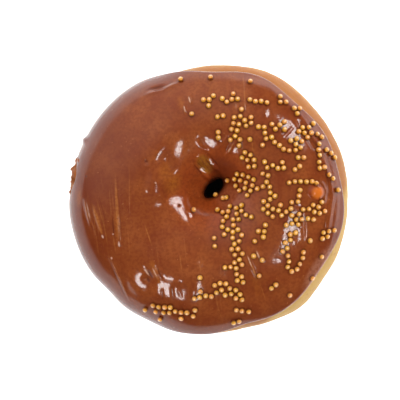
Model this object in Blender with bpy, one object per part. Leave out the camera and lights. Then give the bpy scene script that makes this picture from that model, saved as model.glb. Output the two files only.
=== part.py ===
"""A ring doughnut: fried dough, caramel icing over its top, and pearl sprinkles set in the icing on one side.

Run it with blender --background --python part.py, or from Blender's text editor.
The frame has +Z up and its origin under the middle of the doughnut, on the surface that it rests on.
"""

import math
import random

import bpy
from mathutils import Vector

MM = 0.001

# The dough. A slice of it runs from the throat, the narrowest part of the hole, out to the rim.
RIM_RADIUS = 43.6 * MM
THROAT_CENTRE = Vector((1.5, 3.8, 0.0)) * MM
THROAT_HALF_LENGTH = 5.3 * MM
THROAT_HALF_WIDTH = 3.95 * MM
THROAT_TURN = math.radians(47)
WAIST_HEIGHT = 15.5 * MM
RISE_ABOVE_WAIST = 16.2 * MM
DROP_BELOW_WAIST = 16.3 * MM
CREST_LEAN = 2.6 * MM
FULLNESS = 0.93

# The icing. Its edges stand off the dough by a gap, as touching solids must not share faces.
# Behind each rounded edge its skin and its underside rise above that gap.
ICING_GAP = 0.4 * MM
SKIN_RISE = 1.3 * MM
UNDERSIDE_RISE = 0.4 * MM
ICING_NOSE = 2.2 * MM
OUTER_EDGE_ROLL = -4.0
INNER_EDGE_ROLL = 167.0
EDGE_WAVE = 1.6
EDGE_WAVES_ROUND = 9

# The sprinkles.
PEARL_RADIUS = 0.88 * MM
PEARL_SINK = 0.2
PEARL_SPACING = 1.78 * MM
PEARL_LEAST_ICING = 1.2 * MM
PEARL_DRAW_IN = 0.968
DRAWS_FOR_EACH_PEARL = 80
SEED = 11

# Facets: around the ring and about a slice, and the rows of the icing's skin and underside.
FACETS_AROUND = 56
DOUGH_ROWS = 20
ICING_SKIN_ROWS = 13
ICING_UNDER_ROWS = 13

# Swellings of the outline: direction and spread in degrees, and how far the rim stands out in millimetres.
RIM_SWELLINGS = (
    (20, 38, 2.3),
    (64, 18, 1.9),
    (110, 10, -0.9),
    (190, 26, 0.9),
    (222, 8, -0.8),
    (245, 12, -0.7),
    (264, 11, 0.7),
    (298, 10, 1.1),
    (311, 9, 1.9),
    (331, 22, 1.8),
)

# Where the icing stops higher up the side: direction, spread and lift, all in degrees.
EDGE_LIFTS = (
    (15, 20, 8),
    (55, 50, 40),
    (95, 18, 11),
    (171, 9, 20),
    (262, 10, 9),
    (280, 22, 16),
    (311, 9, 6),
    (325, 42, 33),
)

# Where the ring stands higher or lower than its crest: direction, spread in degrees, rise in millimetres.
CREST_SWELLINGS = (
    (135, 40, 0.7),
    (205, 30, -0.6),
    (20, 45, 0.5),
    (290, 35, -0.5),
)

# The pearls' places are as seen from above. A camera sees high things too far out, so they are drawn in.
# Drifts of pearls: where each starts and ends (x, y) and its half width, in millimetres, and its pearls.
PEARL_DRIFTS = (
    ((-1.4, 30.6), (2.4, 33.8), 0.8, 5),
    ((5.4, 31.8), (9.8, 33.4), 0.6, 5),
    ((13.0, 32.6), (17.8, 31.6), 0.4, 4),
    ((23.4, 31.0), (24.6, 32.4), 0.8, 3),
    ((27.8, 29.2), (30.4, 31.0), 0.7, 4),
    ((7.4, 25.6), (13.9, 25.0), 1.8, 10),
    ((17.0, 23.2), (19.6, 19.6), 1.0, 5),
    ((21.4, 23.6), (24.4, 23.6), 1.0, 5),
    ((20.9, 18.4), (26.4, 15.4), 0.8, 5),
    ((27.5, 16.2), (32.4, 23.0), 1.8, 12),
    ((35.4, 18.2), (36.2, 9.8), 0.5, 6),
    ((38.4, 16.4), (41.2, 13.6), 0.4, 3),
    ((7.8, 20.5), (9.8, 18.8), 0.8, 4),
    ((11.0, 14.8), (15.8, 11.8), 1.3, 7),
    ((18.8, 11.0), (24.2, 10.6), 0.6, 6),
    ((8.6, 7.6), (14.8, 5.6), 1.5, 9),
    ((8.8, 4.2), (14.8, 2.0), 0.9, 6),
    ((18.4, 7.8), (21.4, 0.4), 1.0, 8),
    ((24.2, 5.3), (33.8, 5.5), 0.5, 6),
    ((29.6, 3.0), (28.4, -0.8), 0.4, 4),
    ((2.6, -4.2), (11.0, -3.4), 1.3, 9),
    ((4.6, -6.4), (10.6, -7.4), 1.1, 6),
    ((4.0, -9.6), (11.2, -11.4), 1.2, 9),
    ((9.9, -13.8), (8.2, -17.4), 1.5, 7),
    ((10.4, -20.2), (5.6, -23.2), 1.1, 6),
    ((8.2, -24.4), (10.4, -25.8), 0.7, 4),
    ((15.4, -10.4), (19.4, -11.2), 0.4, 3),
    ((17.6, -2.4), (27.4, -4.6), 1.7, 13),
    ((27.4, -5.6), (36.8, -2.6), 2.0, 15),
    ((23.6, -9.0), (28.8, -7.0), 0.8, 4),
    ((27.0, -11.2), (23.8, -15.6), 0.7, 6),
    ((25.0, -18.4), (26.6, -23.6), 0.8, 4),
    ((28.2, -24.0), (31.2, -16.8), 0.5, 4),
    ((36.6, -10.6), (41.2, -9.8), 0.4, 3),
    ((3.2, -27.6), (10.6, -32.0), 1.3, 11),
    ((-5.2, -32.4), (1.4, -31.6), 0.6, 5),
    ((-18.2, -35.8), (-4.4, -37.5), 1.2, 13),
)

# Pairs of pearls that touch: the place of the first (x, y) in millimetres and the direction of the other.
PEARL_PAIRS = (
    ((2.8, 20.1), 90),
    ((2.6, 26.9), 10),
    ((28.8, 13.6), 0),
    ((27.8, 9.7), 35),
    ((34.0, 24.8), 55),
    ((35.2, 21.3), -30),
    ((39.0, 8.1), -45),
    ((12.1, -5.2), -20),
    ((36.9, -12.8), 20),
    ((20.3, -29.0), 40),
    ((8.8, -36.2), -10),
    ((8.0, -40.6), 15),
)

# Single pearls (x, y), in millimetres.
LONE_PEARLS = (
    (-9.4, 39.4),
    (0.4, 40.0),
    (13.4, 38.6),
    (-5.8, 27.8),
    (10.4, 29.3),
    (13.2, 19.6),
    (17.3, 17.7),
    (17.8, -0.7),
    (6.4, 6.4),
    (6.0, 0.4),
    (18.3, -8.4),
    (14.8, -13.7),
    (1.5, -12.8),
    (1.7, -15.4),
    (14.4, -18.5),
    (17.0, -19.8),
    (16.2, -24.9),
    (32.8, -13.4),
    (36.8, -18.8),
    (42.2, 3.1),
    (33.8, -26.0),
    (26.4, -31.4),
    (-3.1, -25.5),
    (-2.9, -30.1),
    (-21.2, -36.4),
    (-16.2, -39.6),
    (12.9, -36.8),
    (-5.5, -3.5),
)


def heading(turn):
    """The level unit vector at an angle round the ring."""
    return Vector((math.cos(turn), math.sin(turn), 0.0))


def swelling(turn, features):
    """The sum of smooth swellings at an angle, each with its direction, spread and size."""
    total = 0.0
    for direction, spread, size in features:
        away = (math.degrees(turn) - direction + 180.0) % 360.0 - 180.0
        total += size * math.exp(-((away / spread) ** 2))
    return total


def fuller(value):
    """A cosine or sine made rounder at the shoulders."""
    return math.copysign(abs(value) ** FULLNESS, value)


def rim(turn):
    """The outermost point of the dough, seen from above."""
    return heading(turn) * (RIM_RADIUS + swelling(turn, RIM_SWELLINGS) * MM)


def throat(turn):
    """The narrowest point of the hole, seen from above: an ellipse that lies across the ring."""
    along = math.cos(turn - THROAT_TURN) / THROAT_HALF_LENGTH
    across = math.sin(turn - THROAT_TURN) / THROAT_HALF_WIDTH
    return THROAT_CENTRE + heading(turn) / math.hypot(along, across)


def crust_point(turn, roll):
    """A point on the dough. roll goes round a slice: 0 at the rim, a quarter turn at the crest, a half at the throat."""
    outer, inner = rim(turn), throat(turn)
    half = (outer - inner) / 2
    out, up = fuller(math.cos(roll)), fuller(math.sin(roll))
    point = (outer + inner) / 2 + half * out
    if up > 0:
        rise = RISE_ABOVE_WAIST + swelling(turn, CREST_SWELLINGS) * MM
        point -= half.normalized() * CREST_LEAN * up * up
    else:
        rise = DROP_BELOW_WAIST
    point.z = max(0.0, WAIST_HEIGHT + rise * up)
    return point


def crust_normal(turn, roll, step=1e-3):
    """The direction straight out of the dough at a point."""
    round_ring = crust_point(turn + step, roll) - crust_point(turn - step, roll)
    round_slice = crust_point(turn, roll + step) - crust_point(turn, roll - step)
    return round_ring.cross(round_slice).normalized()


def icing_edges(turn):
    """The rolls, in radians, where the icing starts on the outside and ends in the hole."""
    wave = EDGE_WAVE * math.sin(EDGE_WAVES_ROUND * turn)
    outer = OUTER_EDGE_ROLL + swelling(turn, EDGE_LIFTS) + wave
    inner = INNER_EDGE_ROLL - 2 * wave
    return math.radians(outer), math.radians(inner)


def dough_point(turn, row):
    return crust_point(turn, 2 * math.pi * row / DOUGH_ROWS)


def icing_point(turn, row):
    """A point on the icing. The rows run over its skin from the outer edge to the inner, then back underneath."""
    outer, inner = icing_edges(turn)
    if row <= ICING_SKIN_ROWS:
        along = (1 - math.cos(math.pi * row / ICING_SKIN_ROWS)) / 2
        rise = SKIN_RISE
    else:
        along = (ICING_SKIN_ROWS + ICING_UNDER_ROWS - row) / ICING_UNDER_ROWS
        rise = UNDERSIDE_RISE
    length = (crust_point(turn, outer) - crust_point(turn, inner)).length * math.pi / 2
    behind = min(1.0, min(along, 1 - along) * length / ICING_NOSE)
    lift = ICING_GAP + rise * math.sqrt(1 - (1 - behind) ** 2)
    roll = outer + (inner - outer) * along
    return crust_point(turn, roll) + crust_normal(turn, roll) * lift


def clear_scene():
    for obj in list(bpy.data.objects):
        bpy.data.objects.remove(obj)


def collection(name):
    made = bpy.data.collections.new(name)
    bpy.context.scene.collection.children.link(made)
    return made


def move_to(obj, home):
    for old in list(obj.users_collection):
        old.objects.unlink(obj)
    home.objects.link(obj)


def material(name, colour, roughness, metallic=0.0):
    made = bpy.data.materials.new(name)
    made.use_nodes = True
    shader = made.node_tree.nodes["Principled BSDF"]
    shader.inputs["Base Color"].default_value = (*colour, 1.0)
    shader.inputs["Roughness"].default_value = roughness
    shader.inputs["Metallic"].default_value = metallic
    return made


def shaped_ring(name, home, finish, rows, place):
    """A torus whose points go where place(turn, row) says, row being the number of a point in its slice."""
    bpy.ops.mesh.primitive_torus_add(
        major_segments=FACETS_AROUND,
        minor_segments=rows,
        major_radius=RIM_RADIUS / 2,
        minor_radius=RIM_RADIUS / 4,
    )
    ring = bpy.context.active_object
    ring.name = name
    move_to(ring, home)
    for vertex in ring.data.vertices:
        around, about = divmod(vertex.index, rows)
        vertex.co = place(2 * math.pi * around / FACETS_AROUND, about)
    ring.data.materials.append(finish)
    ring.data.shade_smooth()
    ring.data.set_sharp_from_angle(angle=math.radians(50))
    return ring


def make_dough(home):
    crust = material("fried_crust", (0.62, 0.33, 0.13), 0.5)
    return shaped_ring("dough", home, crust, DOUGH_ROWS, dough_point)


def make_icing(home):
    caramel = material("caramel_icing", (0.27, 0.08, 0.03), 0.18)
    return shaped_ring("icing", home, caramel, ICING_SKIN_ROWS + ICING_UNDER_ROWS, icing_point)


def seen(place):
    """The true place, in metres, of what a camera above sees at a place in millimetres."""
    return Vector((*place, 0.0)) * MM * PEARL_DRAW_IN


def pearl_places():
    """Where the pearls lie, seen from above: single, in pairs, and along each drift, where they cling together."""
    draw = random.Random(SEED)
    places = [seen(place) for place in LONE_PEARLS]
    for place, direction in PEARL_PAIRS:
        first = seen(place)
        places += [first, first + heading(math.radians(direction)) * PEARL_SPACING]
    for start, end, half_width, count in PEARL_DRIFTS:
        first = seen(start)
        run = seen(end) - first
        side = Vector((-run.y, run.x, 0.0)).normalized() * half_width * MM
        for _ in range(count):
            drawn = [first + run * draw.random() + side * draw.uniform(-1, 1) for _ in range(DRAWS_FOR_EACH_PEARL)]
            nearest = [min((place - other).length for other in places) for place in drawn]
            free = [(gap, index) for index, gap in enumerate(nearest) if gap >= PEARL_SPACING]
            if free:
                places.append(drawn[min(free)[1]])
    return places


def make_pearls(icing, dough, home):
    """Icosahedra dropped on the icing from above, each sunk a little way in with a corner pointing straight out."""
    bpy.ops.mesh.primitive_ico_sphere_add(subdivisions=1, radius=PEARL_RADIUS)
    pattern = bpy.context.active_object
    move_to(pattern, home)
    above = Vector((0.0, 0.0, 2 * (WAIST_HEIGHT + RISE_ABOVE_WAIST)))
    for place in pearl_places():
        hit, point, normal, _ = icing.ray_cast(place + above, Vector((0.0, 0.0, -1.0)))
        if not hit or (dough.closest_point_on_mesh(point)[1] - point).length < PEARL_LEAST_ICING:
            continue
        pearl = bpy.data.objects.new("pearl", pattern.data)
        home.objects.link(pearl)
        pearl.location = point + normal * PEARL_RADIUS * (1 - 2 * PEARL_SINK)
        pearl.rotation_euler = normal.to_track_quat("Z", "Y").to_euler()
    bpy.data.objects.remove(pattern)


def fuse(icing, pearls):
    """The icing and the pearls joined into one body."""
    print(len(pearls.objects), "pearls")
    join = icing.modifiers.new("pearls", "BOOLEAN")
    join.operation = "UNION"
    join.operand_type = "COLLECTION"
    join.collection = pearls
    join.solver = "EXACT"
    bpy.context.view_layer.objects.active = icing
    bpy.ops.object.modifier_apply(modifier=join.name)
    for pearl in list(pearls.objects):
        bpy.data.objects.remove(pearl)
    bpy.data.collections.remove(pearls)


def main():
    clear_scene()
    doughnut = collection("ring_doughnut")
    pearls = collection("pearls")
    dough = make_dough(doughnut)
    icing = make_icing(doughnut)
    bpy.context.view_layer.update()
    make_pearls(icing, dough, pearls)
    fuse(icing, pearls)


main()
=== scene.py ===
# %% [markdown]
# # An iced ring doughnut
#
# This lesson dresses a plain solid model of a ring doughnut so that it looks real from every side. The
# solids are loaded first and are never changed. Fine pieces are then modelled over them: the fried crust,
# the caramel icing and the sugar pearls. Each piece gets a finish made of shader nodes, and a small studio
# lights the whole.

# %% The frame that everything sits in
import math
import random

import bpy
import numpy as np
from mathutils import Matrix, Vector, noise
from mathutils.kdtree import KDTree


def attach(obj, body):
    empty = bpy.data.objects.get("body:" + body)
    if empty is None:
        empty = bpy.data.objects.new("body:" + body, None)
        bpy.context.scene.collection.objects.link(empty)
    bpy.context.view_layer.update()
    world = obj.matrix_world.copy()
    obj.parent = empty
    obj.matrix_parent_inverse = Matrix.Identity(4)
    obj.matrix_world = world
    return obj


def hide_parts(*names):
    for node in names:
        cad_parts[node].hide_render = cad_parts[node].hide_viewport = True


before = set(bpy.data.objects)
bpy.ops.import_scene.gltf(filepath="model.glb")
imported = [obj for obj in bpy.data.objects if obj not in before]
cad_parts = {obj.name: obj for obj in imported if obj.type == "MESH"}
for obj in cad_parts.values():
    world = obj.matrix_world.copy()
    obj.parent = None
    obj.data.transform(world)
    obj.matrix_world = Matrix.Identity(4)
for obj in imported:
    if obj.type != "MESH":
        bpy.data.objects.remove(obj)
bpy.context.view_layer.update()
MM = 0.001
print("solids:", sorted(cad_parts))

# %% [markdown]
# ## The shape of the dough
#
# A raised ring swells as it fries, so it is never a true torus. Its rim bulges and flattens round the
# outline, and its hole is a slanted oval. Modelling that by hand would mean pulling hundreds of points. A
# function of two angles does it in one go: the turn says where round the ring a point is, and the roll says
# where it is round a slice. The named sizes are those of the solids, so the fine pieces lie where the plain
# ones do. Only their small marks, and the folds of the icing in the hole, are their own.

# %% Named sizes of the ring
HOLE = (1.5, 3.8)
RIM_RADIUS = 43.6 * MM
THROAT_CENTRE = np.array((*HOLE, 0.0)) * MM
THROAT_HALF_LENGTH = 5.3 * MM
THROAT_HALF_WIDTH = 3.95 * MM
THROAT_TURN = math.radians(47)
WAIST_HEIGHT = 15.5 * MM
RISE_ABOVE_WAIST = 16.2 * MM
DROP_BELOW_WAIST = 16.3 * MM
CREST_LEAN = 2.6 * MM
FULLNESS = 0.93

# Swellings of the outline: direction and spread in degrees, and how far the rim stands out in millimetres.
RIM_SWELLINGS = (
    (20, 38, 2.3),
    (64, 18, 1.9),
    (110, 10, -0.9),
    (190, 26, 0.9),
    (222, 8, -0.8),
    (245, 12, -0.7),
    (264, 11, 0.7),
    (298, 10, 1.1),
    (311, 9, 1.9),
    (331, 22, 1.8),
)

# Where the ring stands higher or lower than its crest: direction, spread in degrees, rise in millimetres.
CREST_SWELLINGS = (
    (135, 40, 0.7),
    (205, 30, -0.6),
    (20, 45, 0.5),
    (290, 35, -0.5),
)


def heading(turn):
    """Level unit vectors at angles round the ring."""
    return np.stack((np.cos(turn), np.sin(turn), np.zeros_like(turn)), axis=-1)


def swelling(turn, features):
    """The sum of smooth swellings at each angle, each with its direction, spread and size."""
    total = np.zeros_like(turn)
    for direction, spread, size in features:
        away = (np.degrees(turn) - direction + 180.0) % 360.0 - 180.0
        total += size * np.exp(-((away / spread) ** 2))
    return total


def fuller(value):
    """A cosine or sine made rounder at the shoulders."""
    return np.copysign(np.abs(value) ** FULLNESS, value)


def rim(turn):
    """The outermost points of the dough, seen from above."""
    return heading(turn) * (RIM_RADIUS + swelling(turn, RIM_SWELLINGS) * MM)[..., None]


def throat(turn):
    """The narrowest points of the hole, seen from above."""
    along = np.cos(turn - THROAT_TURN) / THROAT_HALF_LENGTH
    across = np.sin(turn - THROAT_TURN) / THROAT_HALF_WIDTH
    return THROAT_CENTRE + heading(turn) / np.hypot(along, across)[..., None]


def crust_point(turn, roll):
    """Points on the dough. roll is 0 at the rim, a quarter turn at the crest and a half turn in the hole."""
    outer, inner = rim(turn), throat(turn)
    half = (outer - inner) / 2
    out, up = fuller(np.cos(roll)), fuller(np.sin(roll))
    point = (outer + inner) / 2 + half * out[..., None]
    above = np.maximum(up, 0.0)
    point -= half / np.linalg.norm(half, axis=-1)[..., None] * (CREST_LEAN * above * above)[..., None]
    rise = np.where(up > 0, RISE_ABOVE_WAIST + swelling(turn, CREST_SWELLINGS) * MM, DROP_BELOW_WAIST)
    point[..., 2] = np.maximum(0.0, WAIST_HEIGHT + rise * up)
    return point


def crust_normal(turn, roll, step=1e-3):
    """The directions straight out of the dough, from steps to both sides of each point."""
    round_ring = crust_point(turn + step, roll) - crust_point(turn - step, roll)
    round_slice = crust_point(turn, roll + step) - crust_point(turn, roll - step)
    out = np.cross(round_ring, round_slice)
    return out / np.linalg.norm(out, axis=-1)[..., None]


# %% [markdown]
# ## Helpers for making pieces
#
# A ring is a sheet rolled up twice: once into a tube, and once round the hole. So each piece starts as a
# flat grid. Its points are put where the functions say, and the edges that meet are merged, which leaves
# one closed skin with no poles. A torus primitive would be shorter to write, but it stops at 256 segments,
# too few for thin ridges. Smooth noise gives the small unevenness that dough and icing always have.


# %% Rolling a sheet into a ring
SEAM_GAP = 0.002 * MM


def add_ring(name, around, rows, place):
    """A closed ring whose points go where place(turn, row) says. The row numbers the points of a slice."""
    bpy.ops.object.select_all(action="DESELECT")
    bpy.ops.mesh.primitive_grid_add(x_subdivisions=around, y_subdivisions=rows, size=2 * RIM_RADIUS)
    ring = bpy.context.active_object
    ring.name = ring.data.name = name
    index = np.arange((around + 1) * (rows + 1))
    points = place(2 * math.pi * (index % (around + 1)) / around, index // (around + 1) % rows)
    ring.data.vertices.foreach_set("co", points.astype(np.float32).ravel())
    ring.data.update()
    bpy.ops.object.mode_set(mode="EDIT")
    bpy.ops.mesh.select_all(action="SELECT")
    bpy.ops.mesh.remove_doubles(threshold=SEAM_GAP)
    bpy.ops.object.mode_set(mode="OBJECT")
    bpy.ops.object.shade_smooth()
    print(name, "is closed:", len(ring.data.edges) == 2 * len(ring.data.polygons))
    return ring


def rough(points, height, wavelength, shift):
    """Smooth noise at points, up to a height above and below 0. Its swells are about a wavelength apart."""
    scaled = points / wavelength + shift
    return height * np.array([noise.noise(place) for place in scaled.tolist()])


def store(piece, name, values):
    """Keeps one number for each point of a piece, for its finish to read."""
    layer = piece.data.attributes.new(name, "FLOAT", "POINT")
    layer.data.foreach_set("value", np.asarray(values, np.float32))


# %% [markdown]
# ## The crust
#
# The dough floats while it fries, so it browns above and below and keeps a paler belt at the waist. Its
# skin has shallow wrinkles and small blisters, deeper low down. Those are real relief here, so they show in
# the outline too.

# %% The dough ring
DOUGH_AROUND = 360
DOUGH_ROWS = 150
RELIEF_STARTS = 1.5 * MM

# Relief of the skin: its height, its wavelength and the shift of its noise.
CRUST_SWELL = (0.16 * MM, 7 * MM, 0.0)
CRUST_WRINKLE = (0.09 * MM, 2.2 * MM, 5.1)
CRUST_PORE = (0.045 * MM, 0.9 * MM, 9.7)
WRINKLE_SQUASH = 2.6

# Where crumbs stand out at the icing's edge: direction and spread in degrees, roughness in millimetres.
CRUMBLY = ((173, 9, 1.7), (163, 6, 1.1), (152, 4, 0.5), (268, 10, 0.2))
CRUMB_LEVEL = 19 * MM
CRUMB_SPREAD = 5 * MM
CRUMB_MEAN = 0.8
CRUMB = (1.2, 1.1 * MM, 3.3)


def dough_place(turn, row):
    """The dough's points: the plain shape, with swells, wrinkles and pores in its skin."""
    roll = 2 * math.pi * row / DOUGH_ROWS
    point = crust_point(turn, roll)
    squashed = point * (1.0, 1.0, WRINKLE_SQUASH)
    relief = rough(point, *CRUST_SWELL) + rough(squashed, *CRUST_WRINKLE) + rough(point, *CRUST_PORE)
    crumbs = swelling(turn, CRUMBLY) * MM * np.exp(-(((point[:, 2] - CRUMB_LEVEL) / CRUMB_SPREAD) ** 2))
    relief += crumbs * (CRUMB_MEAN + rough(point, *CRUMB))
    off_floor = np.clip(point[:, 2] / RELIEF_STARTS, 0.0, 1.0)
    point += crust_normal(turn, roll) * (relief * off_floor)[:, None]
    point[:, 2] = np.maximum(point[:, 2], 0.0)
    return point


crust = add_ring("crust", DOUGH_AROUND, DOUGH_ROWS, dough_place)
print("crust:", len(crust.data.polygons), "faces")

# %% [markdown]
# ## The icing
#
# The top was pressed into warm icing and lifted, so the icing covers the top down to a wavy edge, hangs
# over the left side and thins into the hole. Seen in a slice it is a crescent: a skin with rounded edges,
# and an underside on the dough.

# %% Where the icing ends
ICING_GAP = 0.4 * MM
SKIN_RISE = 1.3 * MM
ICING_NOSE = 2.2 * MM
OUTER_EDGE_ROLL = -4.0
INNER_EDGE_ROLL = 167.0
EDGE_WAVE = 1.6
EDGE_WAVES_ROUND = 9

# Where the icing stops higher up the side: direction, spread and lift, all in degrees.
EDGE_LIFTS = (
    (15, 20, 8),
    (55, 50, 40),
    (95, 18, 11),
    (171, 9, 20),
    (262, 10, 9),
    (280, 22, 16),
    (311, 9, 6),
    (325, 42, 33),
)


def icing_edges(turn):
    """The rolls, in radians, where the icing starts on the outside and ends in the hole."""
    wave = EDGE_WAVE * np.sin(EDGE_WAVES_ROUND * turn)
    outer = OUTER_EDGE_ROLL + swelling(turn, EDGE_LIFTS) + wave
    inner = np.full_like(turn, INNER_EDGE_ROLL)
    return np.radians(outer), np.radians(inner)


# %% [markdown]
# ## Where the icing mirrors a lamp
#
# Gloss shows a lamp only where the surface faces halfway between the lamp and the camera. On a real
# doughnut the lie of the icing decides where that is. So the camera and the lamps are given first. Then, in
# each oval of a short list, the skin is leaned and curved a little until the oval is filled by its lamp's
# reflection.

# %% Where the camera and the lamps are
CAMERA_DISTANCE = 0.45
WAIST_LEVEL = 16 * MM
PICTURE_MIDDLE = (-3.0 * MM, -0.2 * MM)
EYE = Vector((*PICTURE_MIDDLE, CAMERA_DISTANCE + WAIST_LEVEL))

# Soft round lamps: direction round the doughnut, tilt from straight up and half width, all in degrees, and
# brightness. The last two are as dim as the room. Skin that is leaned toward one of them mirrors no lamp.
ROOM_BRIGHTNESS = 0.08
LAMPS = {
    "upper_right": (38, 44, 6, 23.0),
    "lower_right": (-35, 22, 4.4, 25.0),
    "below": (247, 37, 6, 24.0),
    "dim_east": (8, 24, 6, ROOM_BRIGHTNESS),
    "dim_south": (284, 37, 6, ROOM_BRIGHTNESS),
}


def level(turn):
    """A level unit vector at an angle."""
    return Vector((math.cos(turn), math.sin(turn), 0.0))


def toward_lamp(name):
    """The direction of a lamp, which is far enough away to be the same from every point."""
    direction, tilt = (math.radians(angle) for angle in LAMPS[name][:2])
    return level(direction) * math.sin(tilt) + Vector((0.0, 0.0, math.cos(tilt)))


# %% Ovals that mirror a lamp
# Places in the icing are as seen from above. A camera sees high things too far out, so they are drawn in.
DRAW_IN = 0.968

# Middle (x, y), half length and half width in millimetres, turn in degrees, and the lamp.
GLOSSES = (
    ((-15.5, 7.8), 5.4, 2.2, 71, "dim_east"),
    ((-7.2, -28.8), 3.0, 2.2, 90, "dim_south"),
    ((-10.5, 16.3), 3.1, 1.3, 70, "lower_right"),
    ((-10.5, -1.2), 3.9, 2.2, 117, "upper_right"),
    ((0.7, 18.6), 2.3, 1.3, 157, "below"),
    ((29.7, -10.8), 3.3, 2.4, 95, "lower_right"),
    ((25.5, 22.2), 2.0, 1.8, 33, "upper_right"),
    ((18.8, 28.1), 0.9, 0.8, 90, "upper_right"),
    ((22.4, -20.2), 0.8, 0.6, 162, "lower_right"),
    ((-14.0, -30.3), 4.2, 2.0, 176, "below"),
    ((-23.0, -27.0), 2.9, 1.9, 121, "below"),
    ((-2.0, 9.4), 2.1, 0.8, 133, "lower_right"),
    ((0.9, 12.1), 2.1, 0.7, 132, "lower_right"),
    ((-6.2, -5.4), 0.9, 0.5, 90, "upper_right"),
    ((6.9, 16.9), 0.9, 0.3, 62, "below"),
    ((0.4, -29.8), 0.6, 0.3, 107, "below"),
    ((-5.2, -30.8), 0.9, 0.4, 75, "below"),
    ((29.4, -1.6), 0.6, 0.4, 84, "lower_right"),
    ((30.8, -4.8), 0.6, 0.35, 68, "lower_right"),
)

# The lean fades out where an oval this many times as large ends, and up to this much further.
BLEND_WIDER = 1.25
BLEND_MORE = 1.0 * MM
NEAR = 0.6 * MM


def true_place(place):
    """The true place, in metres, of what a camera above sees at a place in millimetres."""
    return np.array(place) * MM * DRAW_IN


def height_at(points, place):
    """The height of the skin at a place, from a plane laid through the points near it."""
    away = points[:, :2] - place
    near = np.hypot(away[:, 0], away[:, 1]) < NEAR
    sides = np.column_stack((np.ones(near.sum()), away[near]))
    return np.linalg.lstsq(sides, points[near, 2], rcond=None)[0][0]


def lean(points, middle, half_length, half_width, turn, lamp):
    """Moves points of the skin up or down until an oval of it is filled by the reflection of a lamp."""
    centre = true_place(middle)
    base = height_at(points, centre)
    to_eye = (EYE - Vector((*centre, base))).normalized()
    facing = (to_eye + toward_lamp(lamp)).normalized()
    away = points[:, :2] - centre
    wanted = base - away @ np.array(facing.xy) / facing.z
    half_view = math.tan(math.radians(LAMPS[lamp][2]) / 2)
    reach = np.zeros(len(points))
    for half, angle in ((half_length * MM, turn), (half_width * MM, turn + 90)):
        axis = np.array(level(math.radians(angle)).xy)
        ends = sum(height_at(points, centre + side * half * axis) for side in (-1, 1))
        wanted += math.copysign(half_view / half, ends - 2 * base) * (away @ axis) ** 2 / 2
        reach += (away @ axis / (BLEND_WIDER * half + min(half / 2, BLEND_MORE))) ** 2
    points[:, 2] += np.exp(-(reach**2)) * (wanted - points[:, 2])


# %% [markdown]
# ## Marks of dipping
#
# The marks of dipping are what makes the icing look real: puckers where it set in folds, a burst blister,
# and fine threads where it ran. Each is a named bump, dome or ridge, placed in millimetres from the middle.

# %% Bumps and ridges, in millimetres
# The lump beside the hole, the dents round it and the nub at the rim: middle (x, y), radius and height.
LUMPS = (
    ((-1.4, 11.6), 3.0, 0.9),
    ((-12.0, 30.0), 3.0, 0.3),
    ((-31.0, 20.0), 5.0, -0.25),
    ((-20.0, -14.0), 4.0, -0.2),
    ((15.0, -30.0), 4.0, -0.25),
    ((12.0, 36.0), 5.0, 0.3),
    ((-40.6, 19.4), 1.0, 0.7),
)

# Blisters, which have steep edges: middle (x, y), radius and height.
BLISTER = (35.0, 2.4)
DOMES = (
    (BLISTER, 2.5, 1.35),
    ((-5.6, -3.4), 0.6, 0.3),
)

# Small bumps and dents.
BUMPS = (
    ((-9.9, -2.0), 0.35, -0.12),
    ((-20.3, -26.0), 1.2, -0.7),
    ((-16.0, -24.2), 0.7, 0.35),
    ((-3.3, -21.2), 0.7, 0.3),
    ((-22.8, -15.8), 1.4, 0.12),
    ((-20.8, 12.2), 0.6, -0.3),
    ((-20.6, 10.8), 0.35, 0.2),
    ((-17.6, 5.4), 0.4, 0.22),
    ((-20.6, 2.8), 0.4, 0.22),
    ((-34.9, -12.3), 0.45, 0.3),
    ((-29.6, -15.0), 0.45, 0.3),
    ((-31.8, -11.2), 0.35, 0.2),
    ((-33.0, -19.2), 0.4, 0.25),
    ((39.0, 1.0), 1.0, -0.3),
    ((-20.4, 28.8), 0.4, 0.2),
    ((-19.6, 26.7), 0.4, 0.2),
    ((-13.0, 15.2), 0.5, 0.1),
    ((29.6, -8.6), 1.0, 0.1),
    ((27.6, -12.4), 0.8, -0.12),
    ((28.9, -14.2), 0.7, 0.1),
    ((-3.6, 13.9), 0.35, 0.2),
    ((-5.1, 12.9), 0.35, 0.2),
)

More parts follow.
